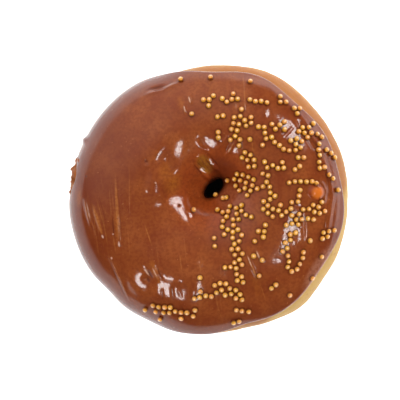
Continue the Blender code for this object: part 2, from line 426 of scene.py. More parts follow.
# Ridges and grooves: from (x, y) to (x, y), half width and height.
RIDGES = (
    ((-5.4, 11.4), (-2.4, 7.8), 0.35, -0.2),
    ((-3.6, 12.2), (-0.2, 8.8), 0.3, -0.15),
    ((-1.6, 13.2), (1.0, 9.8), 0.3, -0.2),
    ((0.2, 14.2), (3.2, 10.8), 0.35, -0.2),
    ((-21.4, -22.2), (-19.1, -25.8), 0.4, -0.6),
    ((-21.9, -22.2), (-19.9, -25.2), 0.3, 0.35),
    ((-19.2, -21.9), (-16.6, -26.8), 0.4, 0.5),
    ((-18.0, -21.6), (-15.6, -26.6), 0.45, -0.3),
    ((-15.8, -29.0), (-15.2, -33.6), 0.3, -0.22),
    ((-12.4, -28.0), (-12.0, -33.0), 0.3, -0.25),
    ((-10.4, -29.4), (-9.0, -32.6), 0.3, -0.2),
    ((-21.0, 34.6), (-15.4, 35.9), 0.6, 0.4),
    ((-15.4, 35.9), (-10.2, 38.4), 0.6, 0.55),
    ((-19.4, 36.4), (-14.6, 37.4), 0.7, -0.55),
    ((-33.4, -18.2), (-26.4, -34.0), 0.35, 0.14),
    ((-41.4, 0.0), (-39.2, -9.0), 0.5, 0.3),
    ((-38.6, -1.0), (-35.2, -12.4), 0.5, 0.22),
    ((-31.2, 2.0), (-29.8, -14.8), 0.5, 0.25),
    ((-30.4, 2.0), (-29.0, -14.0), 0.4, -0.2),
    ((30.0, 28.4), (36.8, 15.8), 0.8, 0.45),
    ((36.8, 15.8), (40.6, 1.4), 0.7, 0.5),
    ((40.6, 1.4), (38.6, -12.0), 0.7, 0.35),
    ((28.4, 26.6), (35.0, 15.0), 0.7, -0.35),
    ((38.6, 9.6), (39.8, 2.6), 0.5, -0.35),
    ((36.6, 6.0), (38.3, 2.4), 0.6, 0.45),
    ((38.3, 2.4), (37.3, -1.8), 0.6, 0.4),
    ((6.3, 15.0), (7.7, 18.4), 0.4, 0.4),
    ((5.2, 15.2), (6.6, 18.6), 0.4, -0.3),
    ((4.4, 18.6), (6.0, 20.8), 0.3, 0.3),
    ((-6.9, 33.9), (-6.1, 31.2), 0.4, 0.45),
    ((-5.6, 34.2), (-4.9, 31.8), 0.4, -0.3),
    ((-8.4, 30.6), (-7.9, 27.9), 0.4, 0.45),
    ((12.2, -17.9), (16.1, -27.1), 0.35, 0.35),
    ((15.1, -16.6), (17.4, -20.6), 0.35, 0.35),
    ((27.6, -5.0), (29.6, -9.4), 0.4, -0.25),
    ((30.6, -6.0), (31.0, -13.0), 0.5, -0.2),
    ((24.4, 20.4), (27.4, 23.8), 0.3, -0.22),
)

# How far from its ends a ridge has faded out, as a share of its length.
RIDGE_END = 0.02


def from_middle(points, middle, radius):
    """How far points are from a place, seen from above, with the radius as 1."""
    return np.linalg.norm(points[:, :2] - true_place(middle), axis=1) / (radius * MM)


def bump(points, middle, radius, height):
    return height * MM * np.exp(-(from_middle(points, middle, radius) ** 2))


def dome(points, middle, radius, height):
    return height * MM * np.sqrt(np.clip(1 - from_middle(points, middle, radius) ** 2, 0.0, 1.0))


def ridge(points, start, end, half_width, height):
    """A ridge, or a groove where its height is below 0, that fades out toward both ends."""
    first = true_place(start)
    run = true_place(end) - first
    along = (points[:, :2] - first) @ run / (run @ run)
    nearest = first + np.clip(along, 0.0, 1.0)[:, None] * run
    away = np.linalg.norm(points[:, :2] - nearest, axis=1) / (half_width * MM)
    fade = np.sqrt(np.sin(math.pi * np.clip(along, RIDGE_END, 1 - RIDGE_END)))
    return height * MM * np.exp(-(away**2)) * fade


# %% The icing ring
ICING_AROUND = 500
SKIN_ROWS = 174
UNDER_ROWS = 24
EVEN_ROWS = 0.65
UNDER_LIFT = 0.3 * MM
UPWARD = 0.2

# Relief of the skin: its height, its wavelength and the shift of its noise.
SKIN_SWELL = (0.15 * MM, 11 * MM, 2.0)
SKIN_RIPPLE = (0.02 * MM, 2.6 * MM, 6.0)

# Folds close the throat further, more across its long axis than at its ends.
THROAT_FOLD = 1.5 * MM
THROAT_END_FOLD = 0.8 * MM
THROAT_FOLD_ALONG = 0.93
THROAT_FOLD_WIDTH = 0.07


def icing_place(turn, row):
    """The icing's points: over the skin from the outer edge to the inner, then back underneath."""
    outer, inner = icing_edges(turn)
    on_skin = row <= SKIN_ROWS
    closer_at_edges = (1 - np.cos(math.pi * row / SKIN_ROWS)) / 2
    over = (1 - EVEN_ROWS) * closer_at_edges + EVEN_ROWS * row / SKIN_ROWS
    under = (SKIN_ROWS + UNDER_ROWS - row) / UNDER_ROWS
    along = np.where(on_skin, over, under)
    roll = outer + (inner - outer) * along
    length = np.linalg.norm(crust_point(turn, outer) - crust_point(turn, inner), axis=-1) * math.pi / 2
    behind = np.minimum(1.0, np.minimum(along, 1 - along) * length / ICING_NOSE)
    rounding = np.sqrt(1 - (1 - behind) ** 2)
    inside = behind * (roll > 0)
    point, out = crust_point(turn, roll), crust_normal(turn, roll)
    folds = THROAT_FOLD * np.sin(turn - THROAT_TURN) ** 2 + THROAT_END_FOLD * np.cos(turn - THROAT_TURN) ** 2
    folds *= np.exp(-(((along - THROAT_FOLD_ALONG) / THROAT_FOLD_WIDTH) ** 2))
    skin_lift = (ICING_GAP + SKIN_RISE + folds) * rounding + rough(point, *SKIN_SWELL) * inside
    for lump in LUMPS:
        skin_lift += bump(point, *lump) * inside
    point += out * np.where(on_skin, skin_lift, UNDER_LIFT * rounding)[:, None]
    top = on_skin & (out[:, 2] > UPWARD)
    skin = point[top]
    for gloss in GLOSSES:
        lean(skin, *gloss)
    relief = rough(skin, *SKIN_RIPPLE)
    for shape, marks in ((bump, BUMPS), (dome, DOMES), (ridge, RIDGES)):
        for mark in marks:
            relief += shape(skin, *mark)
    point[top] = skin + out[top] * (relief * inside[top])[:, None]
    return point


icing = add_ring("icing_coat", ICING_AROUND, SKIN_ROWS + UNDER_ROWS, icing_place)
print("icing:", len(icing.data.polygons), "faces")

# %% [markdown]
# ## The sugar pearls
#
# The pearls were shaken over one side while the icing was wet, so they lie in drifts, in touching pairs and
# singly, and each has sunk a little. One pearl is modelled and copied, each copy with its own mesh, then
# they are joined. They fall by the same rule, with the same seed, as those of the plain solid. Then more
# are added, since the plain solid has few faces to spare.

# %% Where the pearls fall
PEARL_RADIUS = 0.88 * MM
PEARL_SINK = 0.2
PEARL_SPACING = 1.78 * MM
PEARL_LEAST_ICING = 1.2 * MM
DRAWS_FOR_EACH_PEARL = 80
SEED = 11

# The pearls' places are as seen from above, too.
# Drifts of pearls: where each starts and ends (x, y) and its half width, in millimetres, and its pearls.
PEARL_DRIFTS = (
    ((-1.4, 30.6), (2.4, 33.8), 0.8, 5),
    ((5.4, 31.8), (9.8, 33.4), 0.6, 5),
    ((13.0, 32.6), (17.8, 31.6), 0.4, 4),
    ((23.4, 31.0), (24.6, 32.4), 0.8, 3),
    ((27.8, 29.2), (30.4, 31.0), 0.7, 4),
    ((7.4, 25.6), (13.9, 25.0), 1.8, 10),
    ((17.0, 23.2), (19.6, 19.6), 1.0, 5),
    ((21.4, 23.6), (24.4, 23.6), 1.0, 5),
    ((20.9, 18.4), (26.4, 15.4), 0.8, 5),
    ((27.5, 16.2), (32.4, 23.0), 1.8, 12),
    ((35.4, 18.2), (36.2, 9.8), 0.5, 6),
    ((38.4, 16.4), (41.2, 13.6), 0.4, 3),
    ((7.8, 20.5), (9.8, 18.8), 0.8, 4),
    ((11.0, 14.8), (15.8, 11.8), 1.3, 7),
    ((18.8, 11.0), (24.2, 10.6), 0.6, 6),
    ((8.6, 7.6), (14.8, 5.6), 1.5, 9),
    ((8.8, 4.2), (14.8, 2.0), 0.9, 6),
    ((18.4, 7.8), (21.4, 0.4), 1.0, 8),
    ((24.2, 5.3), (33.8, 5.5), 0.5, 6),
    ((29.6, 3.0), (28.4, -0.8), 0.4, 4),
    ((2.6, -4.2), (11.0, -3.4), 1.3, 9),
    ((4.6, -6.4), (10.6, -7.4), 1.1, 6),
    ((4.0, -9.6), (11.2, -11.4), 1.2, 9),
    ((9.9, -13.8), (8.2, -17.4), 1.5, 7),
    ((10.4, -20.2), (5.6, -23.2), 1.1, 6),
    ((8.2, -24.4), (10.4, -25.8), 0.7, 4),
    ((15.4, -10.4), (19.4, -11.2), 0.4, 3),
    ((17.6, -2.4), (27.4, -4.6), 1.7, 13),
    ((27.4, -5.6), (36.8, -2.6), 2.0, 15),
    ((23.6, -9.0), (28.8, -7.0), 0.8, 4),
    ((27.0, -11.2), (23.8, -15.6), 0.7, 6),
    ((25.0, -18.4), (26.6, -23.6), 0.8, 4),
    ((28.2, -24.0), (31.2, -16.8), 0.5, 4),
    ((36.6, -10.6), (41.2, -9.8), 0.4, 3),
    ((3.2, -27.6), (10.6, -32.0), 1.3, 11),
    ((-5.2, -32.4), (1.4, -31.6), 0.6, 5),
    ((-18.2, -35.8), (-4.4, -37.5), 1.2, 13),
)

# Pairs of pearls that touch: the place of the first (x, y) in millimetres and the direction of the other.
PEARL_PAIRS = (
    ((2.8, 20.1), 90),
    ((2.6, 26.9), 10),
    ((28.8, 13.6), 0),
    ((27.8, 9.7), 35),
    ((34.0, 24.8), 55),
    ((35.2, 21.3), -30),
    ((39.0, 8.1), -45),
    ((12.1, -5.2), -20),
    ((36.9, -12.8), 20),
    ((20.3, -29.0), 40),
    ((8.8, -36.2), -10),
    ((8.0, -40.6), 15),
)

# Single pearls (x, y), in millimetres.
LONE_PEARLS = (
    (-9.4, 39.4),
    (0.4, 40.0),
    (13.4, 38.6),
    (-5.8, 27.8),
    (10.4, 29.3),
    (13.2, 19.6),
    (17.3, 17.7),
    (17.8, -0.7),
    (6.4, 6.4),
    (6.0, 0.4),
    (18.3, -8.4),
    (14.8, -13.7),
    (1.5, -12.8),
    (1.7, -15.4),
    (14.4, -18.5),
    (17.0, -19.8),
    (16.2, -24.9),
    (32.8, -13.4),
    (36.8, -18.8),
    (42.2, 3.1),
    (33.8, -26.0),
    (26.4, -31.4),
    (-3.1, -25.5),
    (-2.9, -30.1),
    (-21.2, -36.4),
    (-16.2, -39.6),
    (12.9, -36.8),
    (-5.5, -3.5),
)

# Two more at the mouth of the hole.
MOUTH_PEARLS = ((2.4, 1.2), (4.9, 0.3))


def seen(place):
    """The true place, in metres, of what a camera above sees at a place in millimetres, as a vector."""
    return Vector((*place, 0.0)) * MM * DRAW_IN


def cling(places, drawn):
    """Adds the one of the drawn places that is free and nearest to another pearl."""
    nearest = [min((place - other).length for other in places) for place in drawn]
    free = [(gap, index) for index, gap in enumerate(nearest) if gap >= PEARL_SPACING]
    if free:
        places.append(drawn[min(free)[1]])


def pearl_places():
    """Where the pearls lie, seen from above: single, in pairs, and clinging together along each drift."""
    draw = random.Random(SEED)
    places = [seen(place) for place in LONE_PEARLS]
    for place, direction in PEARL_PAIRS:
        first = seen(place)
        places += [first, first + level(math.radians(direction)) * PEARL_SPACING]
    for start, end, half_width, count in PEARL_DRIFTS:
        first = seen(start)
        run = seen(end) - first
        side = Vector((-run.y, run.x, 0.0)).normalized() * half_width * MM
        for _ in range(count):
            drawn = []
            for _ in range(DRAWS_FOR_EACH_PEARL):
                drawn.append(first + run * draw.random() + side * draw.uniform(-1, 1))
            cling(places, drawn)
    return places


# %% The pearls that the plain solid leaves out
LOOSER = 1.1 * MM


def more_pearls(places):
    """Fills each drift up to its number, a little wider than before."""
    draw = random.Random(SEED + 1)
    for start, end, half_width, count in PEARL_DRIFTS:
        first = seen(start)
        run = seen(end) - first
        along = run.normalized()
        side = Vector((-along.y, along.x, 0.0))
        half = half_width * MM + LOOSER
        there = 0
        for place in places:
            beside, ahead = (place - first).dot(side), (place - first).dot(along)
            there += abs(beside) < half and -LOOSER < ahead < run.length + LOOSER
        for _ in range(count - there):
            drawn = []
            for _ in range(DRAWS_FOR_EACH_PEARL):
                ahead = draw.uniform(-LOOSER, run.length + LOOSER)
                drawn.append(first + along * ahead + side * draw.uniform(-half, half))
            cling(places, drawn)
    return places


# %% One pearl, copied
DROP_HEIGHT = Vector((0.0, 0.0, 60 * MM))
DOWN = Vector((0.0, 0.0, -1.0))
SHAPE_SEED = 5

# How large a pearl is, and how much narrower and lower than round, as shares of its radius.
PEARL_SIZES = (0.92, 1.03)
PEARL_WIDTHS = (0.95, 1.0)
PEARL_HEIGHTS = (0.93, 1.0)

# %% A copy at each place
bpy.context.view_layer.update()
bpy.ops.object.select_all(action="DESELECT")
bpy.ops.mesh.primitive_ico_sphere_add(subdivisions=2, radius=PEARL_RADIUS)
pattern = bpy.context.active_object
bpy.ops.object.shade_smooth()
pattern_points = np.array([vertex.co for vertex in pattern.data.vertices])
shapes = random.Random(SHAPE_SEED)
pearls = []
middles = []
for place in more_pearls(pearl_places()) + [seen(place) for place in MOUTH_PEARLS]:
    hit, point, normal, _ = icing.ray_cast(place + DROP_HEIGHT, DOWN)
    if not hit or (crust.closest_point_on_mesh(point)[1] - point).length < PEARL_LEAST_ICING:
        continue
    pearl = bpy.data.objects.new("pearl", pattern.data.copy())
    bpy.context.collection.objects.link(pearl)
    store(pearl, "foot", (1 - pattern_points[:, 2] / PEARL_RADIUS) / 2)
    store(pearl, "tint", np.full(len(pattern_points), shapes.random()))
    spin = Matrix.Rotation(shapes.uniform(0, math.tau), 4, "Z")
    size = shapes.uniform(*PEARL_SIZES)
    width = size * shapes.uniform(*PEARL_WIDTHS)
    squeeze = Matrix.Diagonal((size, width, size * shapes.uniform(*PEARL_HEIGHTS), 1.0))
    stand = normal.to_track_quat("Z", "Y").to_matrix().to_4x4()
    centre = point + normal * PEARL_RADIUS * (1 - 2 * PEARL_SINK)
    pearl.data.transform(Matrix.Translation(centre) @ stand @ spin @ squeeze)
    pearls.append(pearl)
    middles.append(centre)
bpy.data.objects.remove(pattern)
print("pearls:", len(pearls))

# %% The pearls joined into one piece
bpy.ops.object.select_all(action="DESELECT")
for pearl in pearls:
    pearl.select_set(True)
bpy.context.view_layer.objects.active = pearls[0]
bpy.ops.object.join()
sprinkles = bpy.context.active_object
sprinkles.name = sprinkles.data.name = "pearls"

# %% [markdown]
# ## The shade round each pearl
#
# Where a pearl sits, the icing has drawn up round it and little light gets in. From above that is a thin
# dark ring. Each point of the icing keeps how near the nearest pearl is, and the icing's finish darkens
# there.

# %% Nearness to a pearl
RING_START = 0.95 * MM
RING_END = 1.4 * MM
finder = KDTree(len(middles))
for index, middle in enumerate(middles):
    finder.insert(middle, index)
finder.balance()
gaps = np.array([finder.find(vertex.co)[2] for vertex in icing.data.vertices])
store(icing, "pearl_shade", 1 - np.clip((gaps - RING_START) / (RING_END - RING_START), 0, 1))
print("points in the shade of a pearl:", int((gaps < RING_END).sum()))

# %% [markdown]
# ## Writing shader maths
#
# A finish is a tree of small nodes. Written out one by one they are hard to read, so a value from a socket
# is wrapped in a small class. Its operators add Math nodes, and the finish then reads like ordinary sums.

# %% A wrapped socket

# How far an oval seen from above reaches up and down, in metres.
TALL = 1e3


def add_node(tree, kind, settings=None, sockets=None):
    """A new node, with its settings, whose sockets are linked or set."""
    made = tree.nodes.new(kind)
    for name, value in (settings or {}).items():
        setattr(made, name, value)
    for name, value in (sockets or {}).items():
        value = getattr(value, "socket", value)
        if isinstance(value, bpy.types.NodeSocket):
            tree.links.new(value, made.inputs[name])
        else:
            made.inputs[name].default_value = value
    return made


class Value:
    """A number that varies over a surface. Sums with it add Math nodes to its tree."""

    def __init__(self, finish, socket):
        self.finish = finish
        self.socket = socket

    def maths(self, operation, *values):
        made = self.finish.node("ShaderNodeMath", {"operation": operation}, dict(enumerate(values)))
        return Value(self.finish, made.outputs[0])

    def __add__(self, other):
        return self.maths("ADD", self, other)

    def __sub__(self, other):
        return self.maths("SUBTRACT", self, other)

    def __mul__(self, other):
        return self.maths("MULTIPLY", self, other)

    def __rsub__(self, other):
        return self.maths("SUBTRACT", other, self)

    __radd__ = __add__
    __rmul__ = __mul__

    def ramp(self, low, high):
        """0 at low, 1 at high and smooth between."""
        sockets = {"Value": self, "From Min": low, "From Max": high}
        made = self.finish.node("ShaderNodeMapRange", {"interpolation_type": "SMOOTHSTEP"}, sockets)
        return Value(self.finish, made.outputs[0])


# %% A finish and its parts
class Finish:
    """A material with one Principled shader, and the nodes that drive it."""

    def __init__(self, name, **constants):
        self.material = bpy.data.materials.new(name)
        self.material.use_nodes = True
        self.tree = self.material.node_tree
        self.shader = self.tree.nodes["Principled BSDF"]
        for socket, value in constants.items():
            self.shader.inputs[socket.replace("_", " ")].default_value = value
        self.place = self.node("ShaderNodeTexCoord").outputs["Object"]

    def node(self, kind, settings=None, sockets=None):
        return add_node(self.tree, kind, settings, sockets)

    def drive(self, name, value):
        self.tree.links.new(getattr(value, "socket", value), self.shader.inputs[name])

    def height(self):
        return Value(self, self.node("ShaderNodeSeparateXYZ", None, {0: self.place}).outputs["Z"])

    def grain(self, wavelength, detail=2.0, stretch=(1.0, 1.0, 1.0), turn=0.0, shift=(0.0, 0.0, 0.0)):
        """Noise from 0 to 1 with features about a wavelength long, longer along an axis that is stretched."""
        settings = {"vector_type": "TEXTURE"}
        sockets = {"Vector": self.place, "Location": shift, "Rotation": (0.0, 0.0, turn), "Scale": stretch}
        turned = self.node("ShaderNodeMapping", settings, sockets).outputs[0]
        sockets = {"Vector": turned, "Scale": 1 / wavelength, "Detail": detail}
        made = self.node("ShaderNodeTexNoise", None, sockets)
        return Value(self, made.outputs["Fac"])

    def patch(self, middle, half_length, half_width, turn=0.0):
        """1 in the middle of an oval, seen from above, and 0 at its outline. Sizes are in millimetres."""
        settings = {"vector_type": "TEXTURE"}
        sockets = {
            "Vector": self.place,
            "Location": (*true_place(middle), 0.0),
            "Rotation": (0.0, 0.0, turn),
            "Scale": (half_length * MM, half_width * MM, TALL),
        }
        turned = self.node("ShaderNodeMapping", settings, sockets).outputs[0]
        made = self.node("ShaderNodeTexGradient", {"gradient_type": "SPHERICAL"}, {"Vector": turned})
        return Value(self, made.outputs["Fac"])

    def streak(self, start, end, half_width):
        """A thin oval from one point to another, in millimetres."""
        middle = ((start[0] + end[0]) / 2, (start[1] + end[1]) / 2)
        run = (end[0] - start[0], end[1] - start[1])
        return self.patch(middle, math.hypot(*run) / 2, half_width, math.atan2(run[1], run[0]))

    def attribute(self, name):
        return Value(self, self.node("ShaderNodeAttribute", {"attribute_name": name}).outputs["Fac"])

    def mix(self, share, first, second):
        """One colour turning into another as share goes from 0 to 1."""
        return self.node("ShaderNodeMix", {"data_type": "RGBA"}, {0: share, 6: first, 7: second}).outputs[2]

    def layered(self, base, *layers):
        """A colour with others laid over it in turn, each given with its share from 0 to 1."""
        for share, laid_over in layers:
            base = self.mix(share, base, laid_over)
        return base

    def relief(self, height, distance, strength=1.0, after=None):
        """Bumps the surface by a height from 0 to 1, that much high at most."""
        sockets = {"Height": height, "Distance": distance, "Strength": strength}
        if after is not None:
            sockets["Normal"] = after
        return self.node("ShaderNodeBump", None, sockets).outputs[0]


# %% Colours
def colour(red, green, blue):
    """A screen colour, each part from 0 to 255, as the linear light that a shader takes, by the sRGB rule."""
    parts = [part / 255 for part in (red, green, blue)]
    return (*[part / 12.92 if part <= 0.04045 else ((part + 0.055) / 1.055) ** 2.4 for part in parts], 1.0)


def grey(brightness):
    return (brightness, brightness, brightness, 1.0)


# %% [markdown]
# ## The crust's finish
#
# Seen from above, the crust is orange-tan beside the icing and paler at the waist, and at the lower right
# the pale belt reaches right up to the icing. Height on the piece gives the belt, and noise breaks its
# edges. A ramp's two numbers say where a tint starts and where it is full. In an oval they run from 0 at
# its outline to 1 in its middle.

# %% Fried crust
fried = Finish("fried_crust", Roughness=0.5, Specular_IOR_Level=0.2, Coat_Weight=0.05, Coat_Roughness=0.3)
crust_height = fried.height()
broad = fried.grain(6 * MM, 3.0)
fine = fried.grain(0.9 * MM, 4.0)
ragged = crust_height + (broad - 0.5) * (5 * MM) + (fine - 0.5) * (1.5 * MM)
lower_right = fried.patch((44.0, -24.0), 46.0, 20.0, math.radians(58)).ramp(0.05, 0.4)
belt_top = ragged - lower_right * (8 * MM)
above_belt = belt_top.ramp(15.5 * MM, 22 * MM)
below_belt = 1 - ragged.ramp(8 * MM, 14 * MM)
foot_rim = below_belt * crust_height.ramp(5 * MM, 0.5 * MM)
freckles = fried.grain(1.6 * MM, 3.0, shift=(0.03, 0.01, 0.0)).ramp(0.58, 0.72)
crumbs = fried.patch((-45.0, 8.0), 14.0, 7.0, math.radians(80)).ramp(0.0, 0.3)
# Painted shade: inside the hole the crust is painted near-black, so the hole looks dark.
painted_shade_in_hole = fried.patch(HOLE, 11.0, 9.0, THROAT_TURN).ramp(0.1, 0.4)
crust_colour = fried.layered(
    colour(190, 146, 62),
    (lower_right, colour(204, 162, 88)),
    (above_belt, colour(170, 104, 42)),
    (below_belt, colour(160, 96, 48)),
    (foot_rim, colour(132, 72, 32)),
    (freckles * 0.35, colour(158, 92, 44)),
    (crumbs * 0.8, colour(148, 76, 32)),
    (painted_shade_in_hole * 0.9, colour(34, 16, 8)),
)
fried.drive("Base Color", crust_colour)
fried.drive("Roughness", 0.42 + fine * 0.25)
fried.drive("Normal", fried.relief(fine * 0.6 + broad * 0.4, 0.25 * MM, 0.8))
crust.data.materials.append(fried.material)

# %% [markdown]
# ## The icing's finish
#
# Caramel icing is a deep red-brown with a hard gloss. Where it is thin the light comes back ochre: in the
# threads that run down it, round the hole and on the blister. Tiny pits break its reflections. Some light and
# shade is painted into its colour too: painted shade low on its sides, in its creases, in and above the hole,
# painted haze beside the hole and at the right rim, painted light on the blister, and painted glints.

# %% Where the icing is thin
# Ochre patches: middle (x, y), half length and half width in millimetres, turn in degrees, strength.
THIN_PATCHES = (
    ((-1.6, 11.6), 4.2, 2.9, -54, 1.0),
    ((-14.6, 9.2), 5.0, 2.8, 80, 0.7),
    ((-12.0, 5.4), 5.6, 3.6, 80, 0.9),
    ((-9.4, 31.6), 3.4, 1.8, 100, 0.6),
    ((-18.2, -22.4), 3.6, 1.3, -68, 0.9),
    ((-16.4, -27.6), 2.4, 1.2, -80, 0.6),
    ((8.6, 31.0), 6.0, 1.5, -88, 0.35),
    ((14.4, 14.5), 6.0, 1.8, -85, 0.35),
    ((0.5, 33.0), 7.0, 3.0, 90, 0.2),
    ((15.5, -28.0), 8.0, 2.0, -74, 0.35),
    ((-30.4, -8.4), 7.0, 1.3, -88, 0.4),
    ((-37.0, -6.4), 7.0, 1.3, -74, 0.4),
    ((-43.4, 0.6), 4.6, 1.6, 88, 0.5),
)

# Threads that run down the icing: from (x, y) to (x, y), half width in millimetres and strength.
THREADS = (
    ((-38.8, -1.2), (-35.0, -12.6), 0.7, 1.0),
    ((-37.2, 0.4), (-34.4, -10.0), 0.25, 0.5),
    ((-35.4, -4.0), (-33.4, -16.0), 0.25, 0.5),
    ((-30.9, 9.4), (-29.8, -15.0), 0.65, 1.0),
    ((-29.9, -2.0), (-29.2, -15.4), 0.25, 0.8),
    ((-26.3, 13.0), (-26.1, -7.8), 0.2, 0.6),
    ((-33.0, 6.0), (-32.2, -8.0), 0.2, 0.3),
    ((-32.0, -10.0), (-30.6, -18.4), 0.3, 0.5),
    ((-27.0, -8.0), (-26.0, -20.0), 0.25, 0.4),
    ((-21.4, -7.7), (-18.6, -16.0), 0.3, 0.9),
    ((-9.9, -17.2), (-9.0, -24.0), 0.25, 0.8),
    ((-8.6, -10.0), (-7.4, -22.0), 0.2, 0.4),
    ((-4.0, -16.0), (-2.6, -26.0), 0.2, 0.4),
    ((-33.2, -18.2), (-26.4, -34.0), 0.2, 1.0),
    ((-41.6, 0.6), (-39.6, -9.0), 0.3, 0.7),
    ((-40.0, -3.0), (-37.0, -14.0), 0.2, 0.4),
    ((11.1, 42.0), (11.8, 27.0), 0.25, 0.7),
    ((8.0, 40.0), (8.9, 26.0), 0.2, 0.4),
    ((13.4, 24.0), (14.7, 10.6), 0.25, 0.5),
    ((10.2, 22.0), (11.4, 9.0), 0.2, 0.4),
    ((12.2, -17.9), (16.1, -27.3), 0.28, 1.6),
    ((15.1, -16.6), (17.4, -20.8), 0.3, 1.6),
    ((16.4, -27.0), (18.8, -34.0), 0.2, 0.6),
    ((8.6, -32.0), (10.2, -40.0), 0.2, 0.5),
    ((2.0, -32.6), (4.4, -40.6), 0.2, 0.4),
    ((-6.9, 34.2), (-6.1, 30.8), 0.25, 1.0),
    ((-8.5, 31.0), (-7.9, 27.6), 0.25, 1.0),
    ((-19.2, -21.9), (-16.1, -27.5), 0.4, 1.0),
    ((6.3, 15.0), (7.9, 18.8), 0.25, 0.9),
    ((22.0, 6.0), (22.4, -10.0), 0.2, 0.3),
    ((0.0, 39.0), (0.6, 28.0), 0.25, 0.4),
)

# Creases, grooves that are bumped down and painted dark as shade: from (x, y) to (x, y), half width in
# millimetres and strength.
CREASES_WITH_PAINTED_SHADE = (
    ((-31.9, -4.6), (-31.3, -13.6), 0.35, 0.8),
    ((-10.3, -1.7), (-9.5, -2.1), 0.45, 1.0),
    ((-20.4, -22.6), (-18.4, -26.4), 0.5, 1.0),
    ((-20.6, -25.6), (-19.6, -27.4), 0.6, 0.9),
    ((-21.2, 13.0), (-20.2, 12.0), 0.6, 0.8),
    ((-41.2, 8.0), (-40.6, 7.4), 0.4, 0.9),
    ((-5.4, 11.8), (-2.0, 7.8), 0.35, 0.9),
    ((-4.4, 12.6), (-1.2, 9.4), 0.25, 0.7),
    ((-2.9, 13.2), (0.2, 9.4), 0.25, 0.5),
    ((-1.6, 13.6), (1.3, 10.2), 0.3, 0.9),
    ((0.2, 14.2), (3.2, 10.9), 0.35, 0.9),
    ((-36.8, 2.4), (-33.6, -9.0), 0.25, 0.4),
    ((-33.8, -18.6), (-27.2, -34.0), 0.25, 0.6),
    ((-17.2, -22.0), (-15.4, -27.0), 0.4, 0.7),
    ((-15.8, -29.0), (-15.2, -33.6), 0.35, 0.7),
    ((-12.4, -28.2), (-12.0, -33.0), 0.35, 0.7),
    ((5.2, 15.2), (6.6, 18.6), 0.3, 0.7),
    ((-22.0, 36.0), (-13.6, 37.9), 0.5, 0.6),
    ((-9.8, -34.4), (-6.0, -40.0), 0.35, 0.6),
    ((38.0, 12.0), (39.4, 2.0), 0.5, 0.5),
    ((31.0, 25.6), (36.4, 14.4), 0.45, 0.4),
    ((38.6, -3.0), (37.2, -15.0), 0.5, 0.4),
)

# Painted glints, pale marks that stand for tiny highlights at the ends of threads: from (x, y) to (x, y),
# half width in millimetres and strength.
PAINTED_GLINTS = (
    ((-35.5, -11.6), (-34.9, -13.0), 0.4, 1.0),
    ((-29.8, -13.6), (-29.6, -15.8), 0.4, 1.0),
    ((-31.8, -11.1), (-31.6, -11.8), 0.35, 0.8),
    ((-32.4, -18.9), (-32.2, -19.9), 0.4, 0.9),
    ((-17.8, 5.8), (-17.4, 5.0), 0.35, 0.8),
    ((-20.7, 3.1), (-20.5, 2.3), 0.35, 0.8),
    ((-40.8, -0.4), (-39.2, -7.8), 0.35, 0.5),
    ((-21.6, -22.4), (-19.6, -25.4), 0.35, 1.0),
    ((-18.8, -22.2), (-17.2, -25.4), 0.3, 0.7),
    ((6.0, 15.2), (7.1, 17.4), 0.35, 0.9),
    ((12.3, -18.2), (14.0, -22.4), 0.3, 0.9),
    ((15.2, -16.8), (16.6, -19.8), 0.35, 0.9),
    ((-6.9, 33.9), (-6.2, 31.4), 0.3, 0.9),
    ((-8.4, 30.8), (-7.9, 28.4), 0.3, 0.9),
)

# Where the faint strands show: middle (x, y), half length and half width, turn in degrees.
STRANDS = (
    ((-33.5, -10.0), 22.0, 9.0, -82),
    ((-14.8, -18.0), 14.0, 7.0, -85),
    ((4.0, -28.0), 18.0, 12.0, 10),
    ((11.0, 24.0), 18.0, 6.0, -88),
)

# %% Caramel icing
caramel = Finish(
    "caramel_icing",
    Roughness=0.12,
    Specular_IOR_Level=0.3,
    Coat_Weight=0.1,
    Coat_Roughness=0.25,
    Coat_IOR=1.5,
)


def oval(middle, half_length, half_width, turn=0.0, full=0.6):
    """An oval turned by so many degrees, with a soft edge."""
    return caramel.patch(middle, half_length, half_width, math.radians(turn)).ramp(0.0, full)


def drawn_lines(lines):
    """The sum of thin ovals, each times its strength."""
    return sum(caramel.streak(*line).ramp(0.0, 0.6) * strength for *line, strength in lines)


# %% How the icing's own colour varies, from broad to fine
drift = caramel.grain(16 * MM, 2.0)
cloud = caramel.grain(5 * MM, 3.0, shift=(0.02, 0.05, 0.0))
mottle = caramel.grain(0.9 * MM, 3.0, shift=(0.01, 0.0, 0.02))
specks = caramel.grain(0.7 * MM, 1.0, shift=(0.04, 0.02, 0.0)).ramp(0.73, 0.79)

# %% The marks of dipping in its colour
thin = sum(oval(*patch, full=0.9) * strength for *patch, strength in THIN_PATCHES)
threads = drawn_lines(THREADS)
creases_with_painted_shade = drawn_lines(CREASES_WITH_PAINTED_SHADE)
painted_glints = drawn_lines(PAINTED_GLINTS)
strands = caramel.grain(0.6 * MM, 2.0, stretch=(1.0, 34.0, 34.0), turn=math.radians(6))
stranded = sum(oval(*patch, full=0.7) for patch in STRANDS)
faint = strands.ramp(0.54, 0.7) * stranded * cloud.ramp(0.3, 0.7)
lump = oval((-1.5, 11.6), 4.0, 2.8, -54, full=0.5)
blister = oval(BLISTER, 2.9, 2.9, full=0.25)
# Painted light on the blister: lighter in its middle, a little to the right, and darker toward its edges,
# most on the left.
painted_light_on_blister = oval((35.5, 2.1), 2.6, 2.6)

# %% Its regions
hole_side = caramel.patch(HOLE, 19.0, 17.0, THROAT_TURN).ramp(0.05, 0.5)
# Painted shade: the icing at the mouth of the hole is painted near-black.
mouth = caramel.patch((1.7, 4.0), 6.0, 3.7, THROAT_TURN).ramp(0.0, 0.5)
